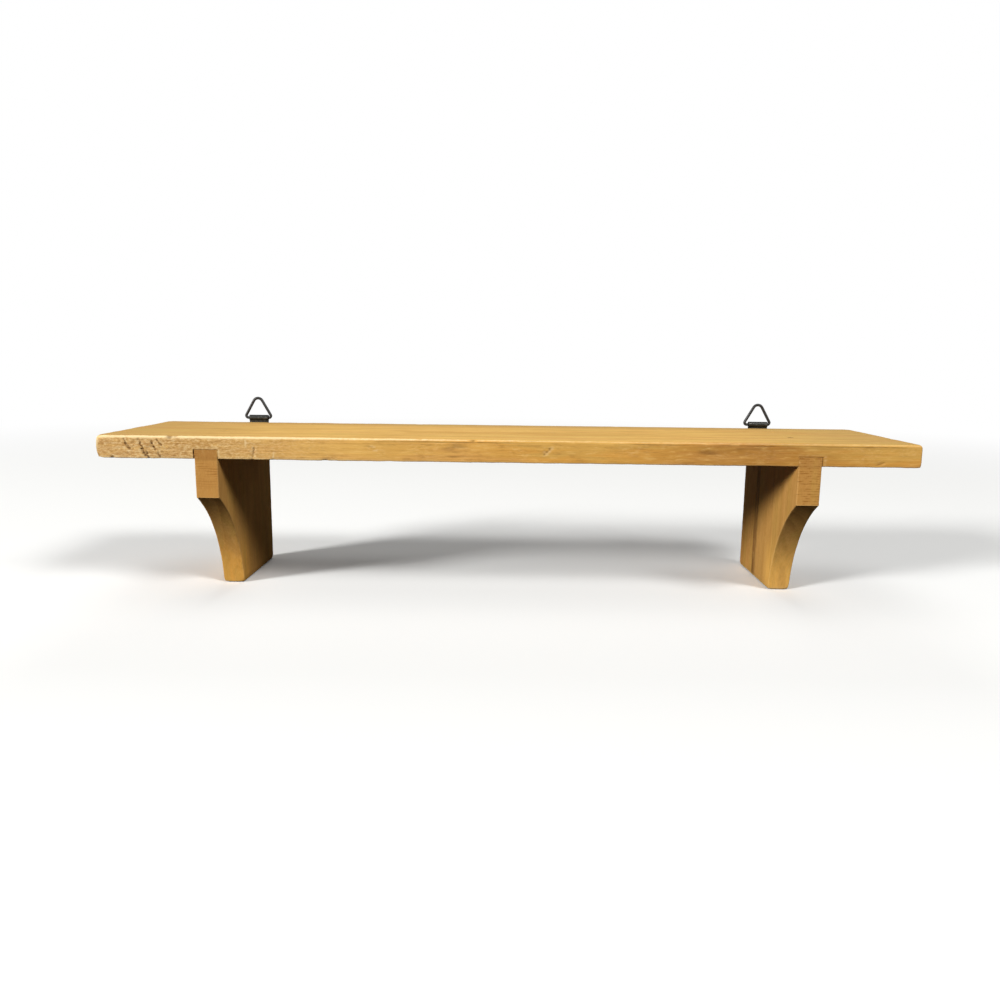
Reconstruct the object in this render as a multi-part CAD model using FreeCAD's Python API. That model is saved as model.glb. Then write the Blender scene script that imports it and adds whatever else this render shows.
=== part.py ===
import FreeCAD, Part
import math
import os

# Trinket shelf: a small pine board carried on two cove-cut brackets that are housed in its underside,
# with a triangular hanging ring behind each bracket.
# +X runs along the board to the right, +Y to the back (the wall side) and +Z up.
# The feet stand at Z = 0, and the origin is under the middle of the whole piece. Lengths are in mm.

# Board
board_length = 406.4
board_depth = 88.9
board_thickness = 11.5
board_edge_radius = 1.5

# Brackets: the overhang is from the board's end to the bracket's outer face
bracket_thickness = 11.5
board_overhang = 48.65
clear_height = 72.0
nose_height = 19.3
foot_setback = 33.8
cove_sagitta = 7.3
bracket_edge_chamfer = 0.5

# Housings: the brackets bear on the inner wall, and the slack is on the outer side
housing_depth = 4.8
left_housing_gap = 0.6
right_housing_gap = 0.2

# Finishing nails through the board into the brackets: insets are from the board's front and back
nail_diameter = 1.6
nail_length = 32.0
nail_head_diameter = 2.4
nail_head_height = 1.4
nail_set_depth = 0.6
front_nail_inset = 31.5
rear_nail_inset = 27.0
nail_point_share = 0.08

# Hanging rings: bent wire triangles whose ends butt in the middle of the bar. The wire has small
# flats all round, which keeps its bends light
wire_diameter = 1.6
wire_flats = 12
ring_width = 16.2
ring_height = 13.2
ring_apex_radius = 2.8
ring_corner_radius = 1.2
ring_end_gap = 0.4
left_ring_shift_share = -0.5
right_ring_shift_share = -0.9

# Hanger straps: a strip folded round the ring's bar, with two leaves lying on each other
strap_thickness = 0.8
strap_leaf_gap = 0.1
strap_bend_radius = 0.3
strap_tail_width = 8.8
bar_clearance = 0.08
bar_side_play = 0.55
left_pivot_rise = 2.5
right_pivot_rise = 2.0

# Hanger screws
screw_diameter = 2.9
screw_length = 14.0
screw_head_diameter = 5.6
screw_head_height = 1.7
screw_slot_width = 0.8
screw_slot_depth = 0.8
screw_hole_clearance = 0.15
screw_ring_clearance = 1.2
screw_point_share = 0.3
left_slot_angle = 25.0
right_slot_angle = -40.0

# How far cutting shapes run past the faces that they cut
overrun = 1.0

# Places worked out from the sizes above
leaf_stack = 2 * strap_thickness + strap_leaf_gap
front_y = -(board_depth + leaf_stack + screw_head_height) / 2
back_y = front_y + board_depth
board_top = clear_height + board_thickness
housing_top = clear_height + housing_depth
nail_top = board_top - nail_set_depth
nail_head_foot = nail_top - nail_head_height
nail_tip = nail_top - nail_length
wire_radius = wire_diameter / 2
ring_reach = ring_height - wire_radius
bar_length = ring_width - wire_diameter - 2 * ring_corner_radius
strap_width = bar_length - 2 * bar_side_play
bore_radius = wire_radius + bar_clearance
curl_radius = bore_radius + strap_thickness
screw_drop = ring_reach + screw_head_diameter / 2 + screw_ring_clearance
pivot_y = back_y + leaf_stack / 2

X_AXIS = FreeCAD.Vector(1, 0, 0)
Y_AXIS = FreeCAD.Vector(0, 1, 0)
Z_AXIS = FreeCAD.Vector(0, 0, 1)
ORIGIN = FreeCAD.Vector(0, 0, 0)

# One entry per end of the shelf: which way is outward, and the sizes that differ from end to end
SIDES = {
    "left": {
        "outward": -1,
        "housing_gap": left_housing_gap,
        "ring_shift": left_ring_shift_share * bar_side_play,
        "pivot_rise": left_pivot_rise,
        "slot_angle": left_slot_angle,
    },
    "right": {
        "outward": 1,
        "housing_gap": right_housing_gap,
        "ring_shift": right_ring_shift_share * bar_side_play,
        "pivot_rise": right_pivot_rise,
        "slot_angle": right_slot_angle,
    },
}


def side_point(depth, height):
    """A point in the YZ plane."""
    return FreeCAD.Vector(0, depth, height)


def front_point(across, height):
    """A point in the XZ plane."""
    return FreeCAD.Vector(across, 0, height)


def mirrored_across(point):
    return FreeCAD.Vector(-point.x, point.y, point.z)


def mirrored_in_depth(point):
    return FreeCAD.Vector(point.x, -point.y, point.z)


def line(start, end):
    return Part.LineSegment(start, end).toShape()


def arc(start, middle, end):
    return Part.Arc(start, middle, end).toShape()


def arc_round(centre, start, end):
    """The shorter arc about a centre from one point on it to another."""
    half_way = (start - centre) + (end - centre)
    half_way.normalize()
    return arc(start, centre + half_way * (start - centre).Length, end)


def bracket_centre(side):
    return side["outward"] * (board_length / 2 - board_overhang - bracket_thickness / 2)


def pivot_height(side):
    return board_top + side["pivot_rise"]


def nail_places(side):
    """Where the two nails of a bracket stand, in plan."""
    across = bracket_centre(side)
    return {
        "front": FreeCAD.Vector(across, front_y + front_nail_inset, 0),
        "rear": FreeCAD.Vector(across, back_y - rear_nail_inset, 0),
    }


def make_nail(place):
    """A finishing nail, point down, its head set below the board's top."""
    point_start = nail_tip + nail_length * nail_point_share
    shank_radius = nail_diameter / 2
    head_radius = nail_head_diameter / 2
    half = Part.makePolygon([
        front_point(0, nail_top),
        front_point(head_radius, nail_top),
        front_point(head_radius, nail_head_foot),
        front_point(shank_radius, nail_head_foot),
        front_point(shank_radius, point_start),
        front_point(0, nail_tip),
        front_point(0, nail_top),
    ])
    nail = Part.Face(half).revolve(ORIGIN, Z_AXIS)
    nail.translate(place)
    return nail


def make_nail_hole(place):
    """The hole that a nail fills, with the punch mark above its head and a flat end below its point."""
    sink_depth = nail_head_height + nail_set_depth + overrun
    sink_foot = place + Z_AXIS * nail_head_foot
    pilot_foot = place + Z_AXIS * nail_tip
    sink = Part.makeCylinder(nail_head_diameter / 2, sink_depth, sink_foot, Z_AXIS)
    pilot = Part.makeCylinder(nail_diameter / 2, nail_head_foot - nail_tip, pilot_foot, Z_AXIS)
    return sink.fuse(pilot)


def screw_place(side):
    """Where a screw's head bears on the strap."""
    return FreeCAD.Vector(bracket_centre(side), back_y + leaf_stack, pivot_height(side) - screw_drop)


def make_screw(side):
    """A slotted wood screw, driven forward into the bracket's back."""
    head_radius = screw_head_diameter / 2
    shank_radius = screw_diameter / 2
    half = Part.makePolygon([
        FreeCAD.Vector(0, screw_head_height, 0),
        FreeCAD.Vector(head_radius, screw_head_height, 0),
        FreeCAD.Vector(head_radius, 0, 0),
        FreeCAD.Vector(shank_radius, 0, 0),
        FreeCAD.Vector(shank_radius, -screw_length * (1 - screw_point_share), 0),
        FreeCAD.Vector(0, -screw_length, 0),
        FreeCAD.Vector(0, screw_head_height, 0),
    ])
    screw = Part.Face(half).revolve(ORIGIN, Y_AXIS)
    slot = Part.makeBox(screw_head_diameter, screw_slot_depth + overrun, screw_slot_width)
    slot.translate(FreeCAD.Vector(-head_radius, screw_head_height - screw_slot_depth, -screw_slot_width / 2))
    screw = screw.cut(slot)
    screw.rotate(ORIGIN, Y_AXIS, side["slot_angle"])
    screw.translate(screw_place(side))
    return screw


def make_screw_hole(side):
    """The pilot hole that a screw fills, with a flat end below its point."""
    return Part.makeCylinder(screw_diameter / 2, screw_length, screw_place(side), -Y_AXIS)


def make_board():
    """The board, with its edges softened, a housing for each bracket and the nail holes."""
    corner = FreeCAD.Vector(-board_length / 2, front_y, clear_height)
    board = Part.makeBox(board_length, board_depth, board_thickness, corner)
    board = board.makeFillet(board_edge_radius, board.Edges)
    for side in SIDES.values():
        width = bracket_thickness + side["housing_gap"]
        middle = bracket_centre(side) + side["outward"] * side["housing_gap"] / 2
        mouth = FreeCAD.Vector(middle - width / 2, front_y - overrun, clear_height - overrun)
        depth = board_depth + 2 * overrun
        board = board.cut(Part.makeBox(width, depth, housing_depth + overrun, mouth))
        for place in nail_places(side).values():
            board = board.cut(make_nail_hole(place))
    return board


def make_bracket(side):
    """A bracket: the profile in its side plane, pushed out to its thickness, then pierced."""
    nose_foot = side_point(front_y, clear_height - nose_height)
    foot_front = side_point(front_y + foot_setback, 0)
    chord = foot_front - nose_foot
    inward = side_point(-chord.z, chord.y).normalize()
    cove_middle = nose_foot + chord * 0.5 + inward * cove_sagitta
    nose_top = side_point(front_y, housing_top)
    back_top = side_point(back_y, housing_top)
    back_foot = side_point(back_y, 0)
    outline = Part.Wire([
        line(nose_top, nose_foot),
        arc(nose_foot, cove_middle, foot_front),
        line(foot_front, back_foot),
        line(back_foot, back_top),
        line(back_top, nose_top),
    ])
    bracket = Part.Face(outline).extrude(X_AXIS * bracket_thickness)
    side_edges = [
        edge for edge in bracket.Edges
        if edge.BoundBox.XLength < bracket_thickness / 2 and edge.BoundBox.ZMin < clear_height
    ]
    bracket = bracket.makeChamfer(bracket_edge_chamfer, side_edges)
    bracket.translate(X_AXIS * (bracket_centre(side) - bracket_thickness / 2))
    holes = [make_nail_hole(place) for place in nail_places(side).values()]
    return bracket.cut(holes + [make_screw_hole(side)])


def make_ring(side):
    """A wire triangle with rounded corners, standing upright over its bar."""
    path_width = ring_width - wire_diameter
    path_height = ring_height - wire_diameter
    apex_centre = front_point(0, path_height - ring_apex_radius)
    corner_centre = front_point(path_width / 2 - ring_corner_radius, ring_corner_radius)
    run = corner_centre - apex_centre
    lean = (ring_apex_radius - ring_corner_radius) / run.Length
    run.normalize()
    across_run = front_point(-run.z, run.x)
    outward = run * lean + across_run * math.sqrt(1 - lean ** 2)
    bar_end = front_point(ring_end_gap / 2, 0)
    corner_start = front_point(corner_centre.x, 0)
    corner_end = corner_centre + outward * ring_corner_radius
    apex_start = apex_centre + outward * ring_apex_radius
    apex_top = front_point(0, path_height)
    other_apex_start = mirrored_across(apex_start)
    other_corner_end = mirrored_across(corner_end)
    other_corner_start = mirrored_across(corner_start)
    path = Part.Wire([
        line(bar_end, corner_start),
        arc_round(corner_centre, corner_start, corner_end),
        line(corner_end, apex_start),
        arc(apex_start, apex_top, other_apex_start),
        line(other_apex_start, other_corner_end),
        arc_round(mirrored_across(corner_centre), other_corner_end, other_corner_start),
        line(other_corner_start, mirrored_across(bar_end)),
    ])
    flats = [2 * math.pi * step / wire_flats for step in range(wire_flats + 1)]
    section = Part.makePolygon([
        bar_end + side_point(math.sin(angle), math.cos(angle)) * wire_radius for angle in flats])
    ring = path.makePipeShell([section], True, False)
    ring.translate(FreeCAD.Vector(bracket_centre(side) + side["ring_shift"], pivot_y, pivot_height(side)))
    return ring


def strap_section():
    """The folded strip seen from its end: a curl round the ring's bar, and two leaves below it."""
    half_gap = strap_leaf_gap / 2
    leaf_face = half_gap + strap_thickness
    tail = -(screw_drop + strap_tail_width)
    bend_across = leaf_face + strap_bend_radius
    bend_drop = math.sqrt((curl_radius + strap_bend_radius) ** 2 - bend_across ** 2)
    inner_bend_radius = strap_bend_radius + strap_thickness
    toward_curl = side_point(bend_across, bend_drop).normalize()
    outer_start = side_point(-leaf_face, -bend_drop)
    inner_start = side_point(-half_gap, -bend_drop)
    bend_centre = side_point(-bend_across, -bend_drop)
    outer_touch = bend_centre + toward_curl * strap_bend_radius
    inner_touch = bend_centre + toward_curl * inner_bend_radius
    outer_tail = side_point(-leaf_face, tail)
    inner_tail = side_point(-half_gap, tail)
    far_bend_centre = mirrored_in_depth(bend_centre)
    far_outer_start = mirrored_in_depth(outer_start)
    far_inner_start = mirrored_in_depth(inner_start)
    far_outer_touch = mirrored_in_depth(outer_touch)
    far_inner_touch = mirrored_in_depth(inner_touch)
    far_outer_tail = mirrored_in_depth(outer_tail)
    far_inner_tail = mirrored_in_depth(inner_tail)
    return Part.Wire([
        line(outer_tail, outer_start),
        arc_round(bend_centre, outer_start, outer_touch),
        arc(outer_touch, side_point(0, curl_radius), far_outer_touch),
        arc_round(far_bend_centre, far_outer_touch, far_outer_start),
        line(far_outer_start, far_outer_tail),
        line(far_outer_tail, far_inner_tail),
        line(far_inner_tail, far_inner_start),
        arc_round(far_bend_centre, far_inner_start, far_inner_touch),
        arc(far_inner_touch, side_point(0, bore_radius), inner_touch),
        arc_round(bend_centre, inner_touch, inner_start),
        line(inner_start, inner_tail),
        line(inner_tail, outer_tail),
    ])


def strap_outline():
    """The strap seen from behind: straight at the curl, tapering to a round tail about the screw."""
    half_width = strap_width / 2
    tail_radius = strap_tail_width / 2
    top = curl_radius + overrun
    shoulder = front_point(half_width, -curl_radius)
    tail_centre = front_point(0, -screw_drop)
    reach = shoulder - tail_centre
    turn = math.atan2(reach.x, reach.z) + math.acos(tail_radius / reach.Length)
    touch = tail_centre + front_point(math.sin(turn), math.cos(turn)) * tail_radius
    tail_end = front_point(0, -screw_drop - tail_radius)
    top_corner = front_point(half_width, top)
    return Part.Wire([
        line(mirrored_across(top_corner), top_corner),
        line(top_corner, shoulder),
        line(shoulder, touch),
        arc(touch, tail_end, mirrored_across(touch)),
        line(mirrored_across(touch), mirrored_across(shoulder)),
        line(mirrored_across(shoulder), mirrored_across(top_corner)),
    ])


def make_strap(side):
    """A strap: the folded section pushed across its width and trimmed to the strap's outline."""
    strip = Part.Face(strap_section()).extrude(X_AXIS * strap_width)
    strip.translate(X_AXIS * (-strap_width / 2))
    trim_depth = 2 * (curl_radius + overrun)
    trim = Part.Face(strap_outline()).extrude(Y_AXIS * trim_depth)
    trim.translate(Y_AXIS * (-trim_depth / 2))
    strap = strip.common(trim)
    hole_radius = screw_diameter / 2 + screw_hole_clearance
    hole_start = FreeCAD.Vector(0, -trim_depth / 2, -screw_drop)
    strap = strap.cut(Part.makeCylinder(hole_radius, trim_depth, hole_start, Y_AXIS))
    strap.translate(FreeCAD.Vector(bracket_centre(side), pivot_y, pivot_height(side)))
    return strap


def make_parts():
    """Every piece by name."""
    parts = {"shelf_board": make_board()}
    for side_name, side in SIDES.items():
        parts[side_name + "_bracket"] = make_bracket(side)
        for place_name, place in nail_places(side).items():
            parts[side_name + "_" + place_name + "_nail"] = make_nail(place)
        parts[side_name + "_hanger_strap"] = make_strap(side)
        parts[side_name + "_hanger_ring"] = make_ring(side)
        parts[side_name + "_hanger_screw"] = make_screw(side)
    return parts


os.makedirs("parts", exist_ok=True)
for part_name, shape in make_parts().items():
    shape.exportStep("parts/" + part_name + ".step")
    print(part_name, "solids", len(shape.Solids), "valid", shape.isValid(), "volume", round(shape.Volume, 1))
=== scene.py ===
"""Trinket shelf: a small pine board on two cove-cut brackets, with wire rings behind to hang it by."""

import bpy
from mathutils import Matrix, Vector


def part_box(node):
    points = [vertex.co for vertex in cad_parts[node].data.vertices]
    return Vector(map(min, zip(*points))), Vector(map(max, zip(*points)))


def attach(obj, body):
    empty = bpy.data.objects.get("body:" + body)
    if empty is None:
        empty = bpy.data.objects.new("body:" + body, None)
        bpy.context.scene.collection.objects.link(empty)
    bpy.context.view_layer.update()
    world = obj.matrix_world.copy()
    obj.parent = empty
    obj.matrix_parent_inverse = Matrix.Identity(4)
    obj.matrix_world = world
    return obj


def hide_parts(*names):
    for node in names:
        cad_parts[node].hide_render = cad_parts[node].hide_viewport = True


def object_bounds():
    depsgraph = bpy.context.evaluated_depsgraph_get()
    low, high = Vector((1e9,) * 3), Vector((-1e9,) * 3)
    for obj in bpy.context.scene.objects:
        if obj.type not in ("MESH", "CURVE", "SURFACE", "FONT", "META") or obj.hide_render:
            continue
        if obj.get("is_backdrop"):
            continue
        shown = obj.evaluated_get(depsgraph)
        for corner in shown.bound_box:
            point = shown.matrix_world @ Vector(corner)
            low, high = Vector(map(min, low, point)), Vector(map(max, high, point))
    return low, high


bl_info = {
    "name": "Trinket Shelf",
    "version": (1, 0, 0),
    "blender": (4, 5, 0),
    "location": "3D View > Sidebar > Trinket Shelf",
    "description": "Dresses a small pine shelf: worn timber, nails, screws and blackened hangers",
    "category": "Object",
}

import math
from types import SimpleNamespace

import bmesh
import bpy
import numpy as np
from bpy.props import FloatProperty, FloatVectorProperty, PointerProperty
from mathutils import Matrix, Vector, noise

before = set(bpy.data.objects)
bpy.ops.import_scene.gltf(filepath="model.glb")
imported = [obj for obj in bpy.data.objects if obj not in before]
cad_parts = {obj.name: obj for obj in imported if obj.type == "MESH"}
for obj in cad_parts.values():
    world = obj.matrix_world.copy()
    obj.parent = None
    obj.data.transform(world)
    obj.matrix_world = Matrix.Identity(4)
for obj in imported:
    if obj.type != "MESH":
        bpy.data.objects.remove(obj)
cad_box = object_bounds()

MM = 0.001
SIDES = ("left", "right")
OPEN_NAIL = "right_front_nail"
SHARP_ANGLE = math.radians(38)
WHITE = (1.0, 1.0, 1.0, 1.0)
# How far marks on the board's front edge reach behind it, in millimetres
FRONT_REACH = 1.6
# Shorter edges than this are cleared away after a cut, in millimetres
SLIVER = 0.002
HOLE_SIDES = 28
# How far a cutter runs past what it cuts, the play of a nail or screw in timber and of a screw in its strap,
# and how far putty stays below the board's top, in millimetres
OVERRUN = 2
TIMBER_PLAY = 0.05
STRAP_PLAY = 0.15
PUTTY_SINK = 0.14
# What sets the two ends apart: the seed of a bracket's wear, how bare its foot's rim is, and the turn of the
# screw's slot in degrees
BRACKET_SEED = {"left": 4.1, "right": 9.6}
FOOT_WEAR = {"left": 0.2, "right": 0.75}
SLOT_TURN = {"left": 25, "right": -40}
# Layers of the timber's grain: how fine each is along and across the grain, then its detail and roughness
GRAIN = {
    "strand": (0.012, 0.4, 3.0, 0.6),
    "line": (0.03, 1.4, 2.0, 0.6),
    "fleck": (0.13, 0.75, 2.0, 0.55),
    "speckle": (0.5, 1.3, 3.0, 0.7),
    "fibre": (0.3, 4.5, 3.0, 0.65),
}
# Lamps: name, direction from the shelf, distance and size in metres, level of light, and whether the
# pieces mirror it
LAMPS = (
    ("key", (-0.72, -0.55, 0.36), 4.0, 0.8, 1.05, True),
    ("side", (0.55, -0.52, 0.64), 4.0, 1.1, 0.62, True),
    ("overhead", (-0.1, 0.1, 1.0), 2.4, 1.6, 0.20, True),
    ("rear", (0.0, 0.85, 0.5), 4.0, 1.6, 0.22, False),
)
LAMP_AIM = (0.0, 0.0, 0.06)
# Camera: place in millimetres, lens and sensor in millimetres, then pitch, yaw and roll in degrees
CAMERA_PLACE = (-0.17, -446.87, 123.68)
CAMERA_LENS = 29.52
CAMERA_SENSOR = 36.0
CAMERA_TURN = (9.925, -0.46, -0.674)

# Cuts in the board's front edge: a line from one place to another, as millimetres from the left end
# and above the underside, then how wide and how deep it is
CUTS = (
    (14.3, 9.8, 14.8, 7.4, 0.70, 0.36),
    (14.8, 7.4, 16.9, 4.8, 0.85, 0.42),
    (21.2, 9.4, 22.3, 7.6, 0.70, 0.34),
    (22.0, 7.4, 23.6, 4.6, 0.60, 0.40),
    (22.8, 4.7, 24.5, 1.6, 0.80, 0.60),
    (25.0, 3.4, 26.1, 0.1, 0.75, 0.55),
    (27.8, 8.4, 28.2, 6.8, 0.75, 0.40),
    (28.3, 6.6, 29.6, 4.4, 0.70, 0.36),
    (31.0, 2.6, 31.8, 0.6, 0.70, 0.40),
    (30.4, 9.3, 32.7, 6.5, 0.70, 0.36),
    (78.4, 5.8, 78.1, 4.6, 0.60, 0.50),
    (78.1, 4.6, 77.2, 0.2, 0.75, 0.26),
    (221.2, 4.4, 224.2, 7.4, 0.60, 0.30),
    (220.4, 5.3, 222.0, 7.0, 0.50, 0.20),
    (135.4, 7.0, 138.0, 6.0, 0.55, 0.18),
    (384.3, 1.2, 387.6, 2.6, 0.60, 0.26),
)
# Pale scratches on the front edge, given in the same way without a depth
SCRATCHES = (
    (74.2, 9.9, 74.3, 6.4, 0.45),
    (87.9, 3.6, 87.6, 0.6, 0.50),
    (222.6, 4.7, 225.2, 7.4, 0.65),
    (60.9, 4.6, 61.1, 0.8, 0.40),
    (359.2, 4.8, 359.3, 0.4, 0.55),
)
# Knocks on the long edges: place along the board, depth from the front, height above the underside,
# reach and depth
KNOCKS = (
    (8.0, 0.0, 0.3, 1.0, 0.70),
    (36.8, 0.0, 11.5, 1.9, 0.75),
    (39.6, 0.5, 11.5, 1.3, 0.45),
    (87.6, 0.0, 0.0, 0.9, 0.45),
    (113.4, 0.0, 0.0, 1.3, 0.60),
    (160.0, 0.0, 11.5, 1.4, 0.35),
    (186.2, 0.0, 11.0, 1.7, 0.55),
    (247.0, 0.0, 11.5, 1.3, 0.30),
    (313.0, 0.0, 11.5, 1.5, 0.40),
    (60.0, 88.9, 11.5, 1.6, 0.45),
    (151.0, 88.9, 11.5, 1.9, 0.55),
    (268.0, 88.9, 11.5, 1.4, 0.40),
    (341.0, 88.9, 0.0, 1.7, 0.50),
    (0.0, 52.0, 11.5, 1.6, 0.50),
    (406.4, 31.0, 11.5, 1.7, 0.55),
    (0.0, 20.0, 0.0, 1.5, 0.45),
    (406.4, 70.0, 0.0, 1.4, 0.40),
)
# Corners of the board worn round: place along, depth from the front, height, reach and depth
WORN_CORNERS = (
    (0.0, 0.0, 0.0, 2.8, 0.95),
    (0.0, 0.0, 11.5, 2.8, 0.60),
    (406.4, 0.0, 11.5, 2.2, 0.30),
    (406.4, 0.0, 0.0, 1.8, 0.25),
    (0.0, 88.9, 11.5, 2.6, 0.40),
    (406.4, 88.9, 11.5, 3.0, 0.50),
)
# Small dents in the board's top: place along, depth from the front, reach and depth
TOP_DENTS = (
    (61.0, 24.0, 2.2, 0.14),
    (133.0, 60.0, 1.6, 0.16),
    (171.0, 18.0, 2.6, 0.12),
    (229.0, 44.0, 2.0, 0.15),
    (288.0, 70.0, 2.4, 0.12),
    (331.0, 26.0, 1.8, 0.16),
    (372.0, 52.0, 2.2, 0.12),
)
# Rough patches of the front edge, where the grain is torn or pitted: place along, height, reach along
# and up, depth
TORN_PATCHES = (
    (24.0, 5.0, 24.0, 6.0, 0.16),
    (62.0, 6.0, 14.0, 4.0, 0.10),
    (206.5, 6.3, 4.6, 2.0, 0.20),
    (256.0, 5.6, 4.0, 2.6, 0.10),
)
# Dark stains and painted shadow on the front edge: place along, height above the underside, reach along and
# up, strength
STAINS_AND_EDGE_SHADOW = (
    (177.0, 7.4, 7.0, 2.8, 0.34),
    (176.0, 3.0, 4.5, 0.6, 0.32),
    (256.0, 7.0, 3.6, 1.2, 0.20),
    (303.0, 6.6, 9.0, 1.5, 0.40),
    (322.0, 8.8, 26.0, 2.2, 0.26),
    # The rows from here on are painted shadow: a thin dark line just under the rounded top front edge.
    (145.0, 9.9, 8.0, 0.5, 0.42),
    (180.0, 9.9, 14.0, 0.4, 0.30),
    (262.0, 9.9, 40.0, 0.4, 0.26),
    (388.0, 9.7, 12.0, 0.6, 0.36),
    (365.0, 9.2, 16.0, 0.5, 0.22),
)


def tone(red, green, blue):
    """A colour given as 8-bit display values, turned into the linear values that shaders use."""
    shares = (red / 255, green / 255, blue / 255)
    return tuple(v / 12.92 if v <= 0.04045 else ((v + 0.055) / 1.055) ** 2.4 for v in shares)


def length(name, description, millimetres):
    """A size that a user may change."""
    return FloatProperty(name=name, description=description, default=millimetres * MM, min=0.0,
                         precision=5, subtype="DISTANCE", unit="LENGTH")


def colour(name, description, red, green, blue):
    """A colour that a user may change."""
    return FloatVectorProperty(name=name, description=description, default=tone(red, green, blue),
                               size=3, min=0.0, max=1.0, subtype="COLOR")


class TrinketShelfSizes(bpy.types.PropertyGroup):
    """Sizes of the shelf's dressed pieces."""

    edge_round: length("Board upper edge radius", "Rounding along the board's upper edges", 1.5)
    under_round: length("Board lower edge radius", "Rounding along the board's lower edges", 0.6)
    corner_round: length("Board corner radius", "Rounding of the board's upright corners", 1.0)
    edge_wear: length("Edge wear", "How far the worn edges wander inwards", 0.30)
    face_wave: length("Face wave", "How far the planed faces wander inwards", 0.12)
    housing_depth: length("Housing depth", "Depth of the grooves for the brackets", 4.8)
    left_gap: length("Left housing gap", "Slack beside the left bracket", 0.6)
    right_gap: length("Right housing gap", "Slack beside the right bracket", 0.2)
    nose_height: length("Nose height", "Upright front of a bracket below the board", 19.3)
    foot_setback: length("Foot setback", "How far a foot stands back from the nose", 33.8)
    cove_depth: length("Cove depth", "Hollow of the cove from its chord", 7.3)
    bracket_round: length("Bracket edge radius", "Rounding along the brackets' edges", 0.5)
    foot_round: length("Foot radius", "Rounding under the feet", 0.8)
    nail_shank: length("Nail shank", "Thickness of a nail's shank", 1.6)
    nail_head: length("Nail head height", "Height of a nail's head", 1.4)
    wire: length("Ring wire", "Thickness of the ring's wire", 1.6)
    ring_apex: length("Ring apex radius", "Bend at the top of a ring", 2.8)
    ring_corner: length("Ring corner radius", "Bend at a ring's lower corners", 1.2)
    ring_gap: length("Ring end gap", "Gap where the wire's ends meet", 0.4)
    strap: length("Strap thickness", "Thickness of the folded strip", 0.8)
    strap_gap: length("Leaf gap", "Gap between the two leaves", 0.1)
    strap_bend: length("Strap bend radius", "Inside radius where the curl meets a leaf", 0.3)
    strap_tail: length("Strap tail width", "Width of the round tail", 8.8)
    bar_clearance: length("Bar clearance", "Play of the ring's bar in the curl", 0.08)
    screw_shank: length("Screw shank", "Thickness over the screw's thread", 2.9)
    screw_head: length("Screw head height", "Height of a screw's head", 1.7)
    slot: length("Screw slot", "Width and depth of a screw's slot", 0.8)


class TrinketShelfColours(bpy.types.PropertyGroup):
    """Colours of the shelf's finishes."""

    board_pale: colour("Board early wood", "Pale wood of the board", 231, 186, 103)
    board_amber: colour("Board late wood", "Darker growth lines of the board", 198, 147, 70)
    bracket_pale: colour("Bracket early wood", "Pale wood of the brackets", 205, 152, 80)
    bracket_amber: colour("Bracket late wood", "Darker growth lines of the brackets", 172, 117, 53)
    gold: colour("Light flecks", "Light flecks and lines in the wood", 238, 192, 112)
    resin: colour("Resin", "Dark ticks and streaks in the wood", 140, 92, 42)
    # Bare wood also lays a painted highlight along the board's top front edge, besides real wear.
    bare: colour("Bare wood", "Wood showing where the finish has worn off", 240, 213, 160)
    # This colour also darkens the places painted as shade: hollows, the rims of the board's top and a line
    # under its front edge.
    grime: colour("Grime", "Dirt in cuts and gaps", 86, 52, 15)
    black_steel: colour("Blackened steel", "Finish of the rings and straps", 62, 63, 60)
    bright_steel: colour("Rubbed steel", "Where the black has rubbed off", 150, 147, 142)
    screw_steel: colour("Screw steel", "Dull plated steel", 148, 142, 130)
    rust: colour("Rust", "Rust on nails and screws", 98, 62, 38)
    floor: colour("Floor", "Plain pale floor", 248, 248, 246)


def plain(group, read):
    """A property group's values, each as it is read."""
    return SimpleNamespace(**{name: read(getattr(group, name)) for name in group.__annotations__})


def sizes():
    """The sizes in millimetres."""
    return plain(bpy.context.scene.trinket_shelf_sizes, lambda size: size / MM)


def colours():
    """The colours as tuples."""
    return plain(bpy.context.scene.trinket_shelf_colours, tuple)


def math_node(operation, reflected=False):
    """An operator or method of a signal, which adds a Math node."""
    def worked(self, *others):
        terms = (*others, self) if reflected else (self, *others)
        node = self.nodes.add("ShaderNodeMath", {"operation": operation}, dict(enumerate(terms)))
        return self.nodes.read(node)
    return worked


class Signal:
    """A value in a node tree. An expression on signals adds its Math nodes."""

    def __init__(self, nodes, socket):
        self.nodes = nodes
        self.socket = socket

    def __neg__(self):
        return 0.0 - self

    __add__ = __radd__ = math_node("ADD")
    __sub__ = math_node("SUBTRACT")
    __rsub__ = math_node("SUBTRACT", True)
    __mul__ = __rmul__ = math_node("MULTIPLY")
    __truediv__ = math_node("DIVIDE")
    __rtruediv__ = math_node("DIVIDE", True)
    root = math_node("SQRT")
    wave = math_node("SINE")
    part = math_node("FRACT")
    size = math_node("ABSOLUTE")
    most = math_node("MAXIMUM")


def span(x, y):
    """The length of two signals at right angles."""
    return (x * x + y * y).root()


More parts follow.
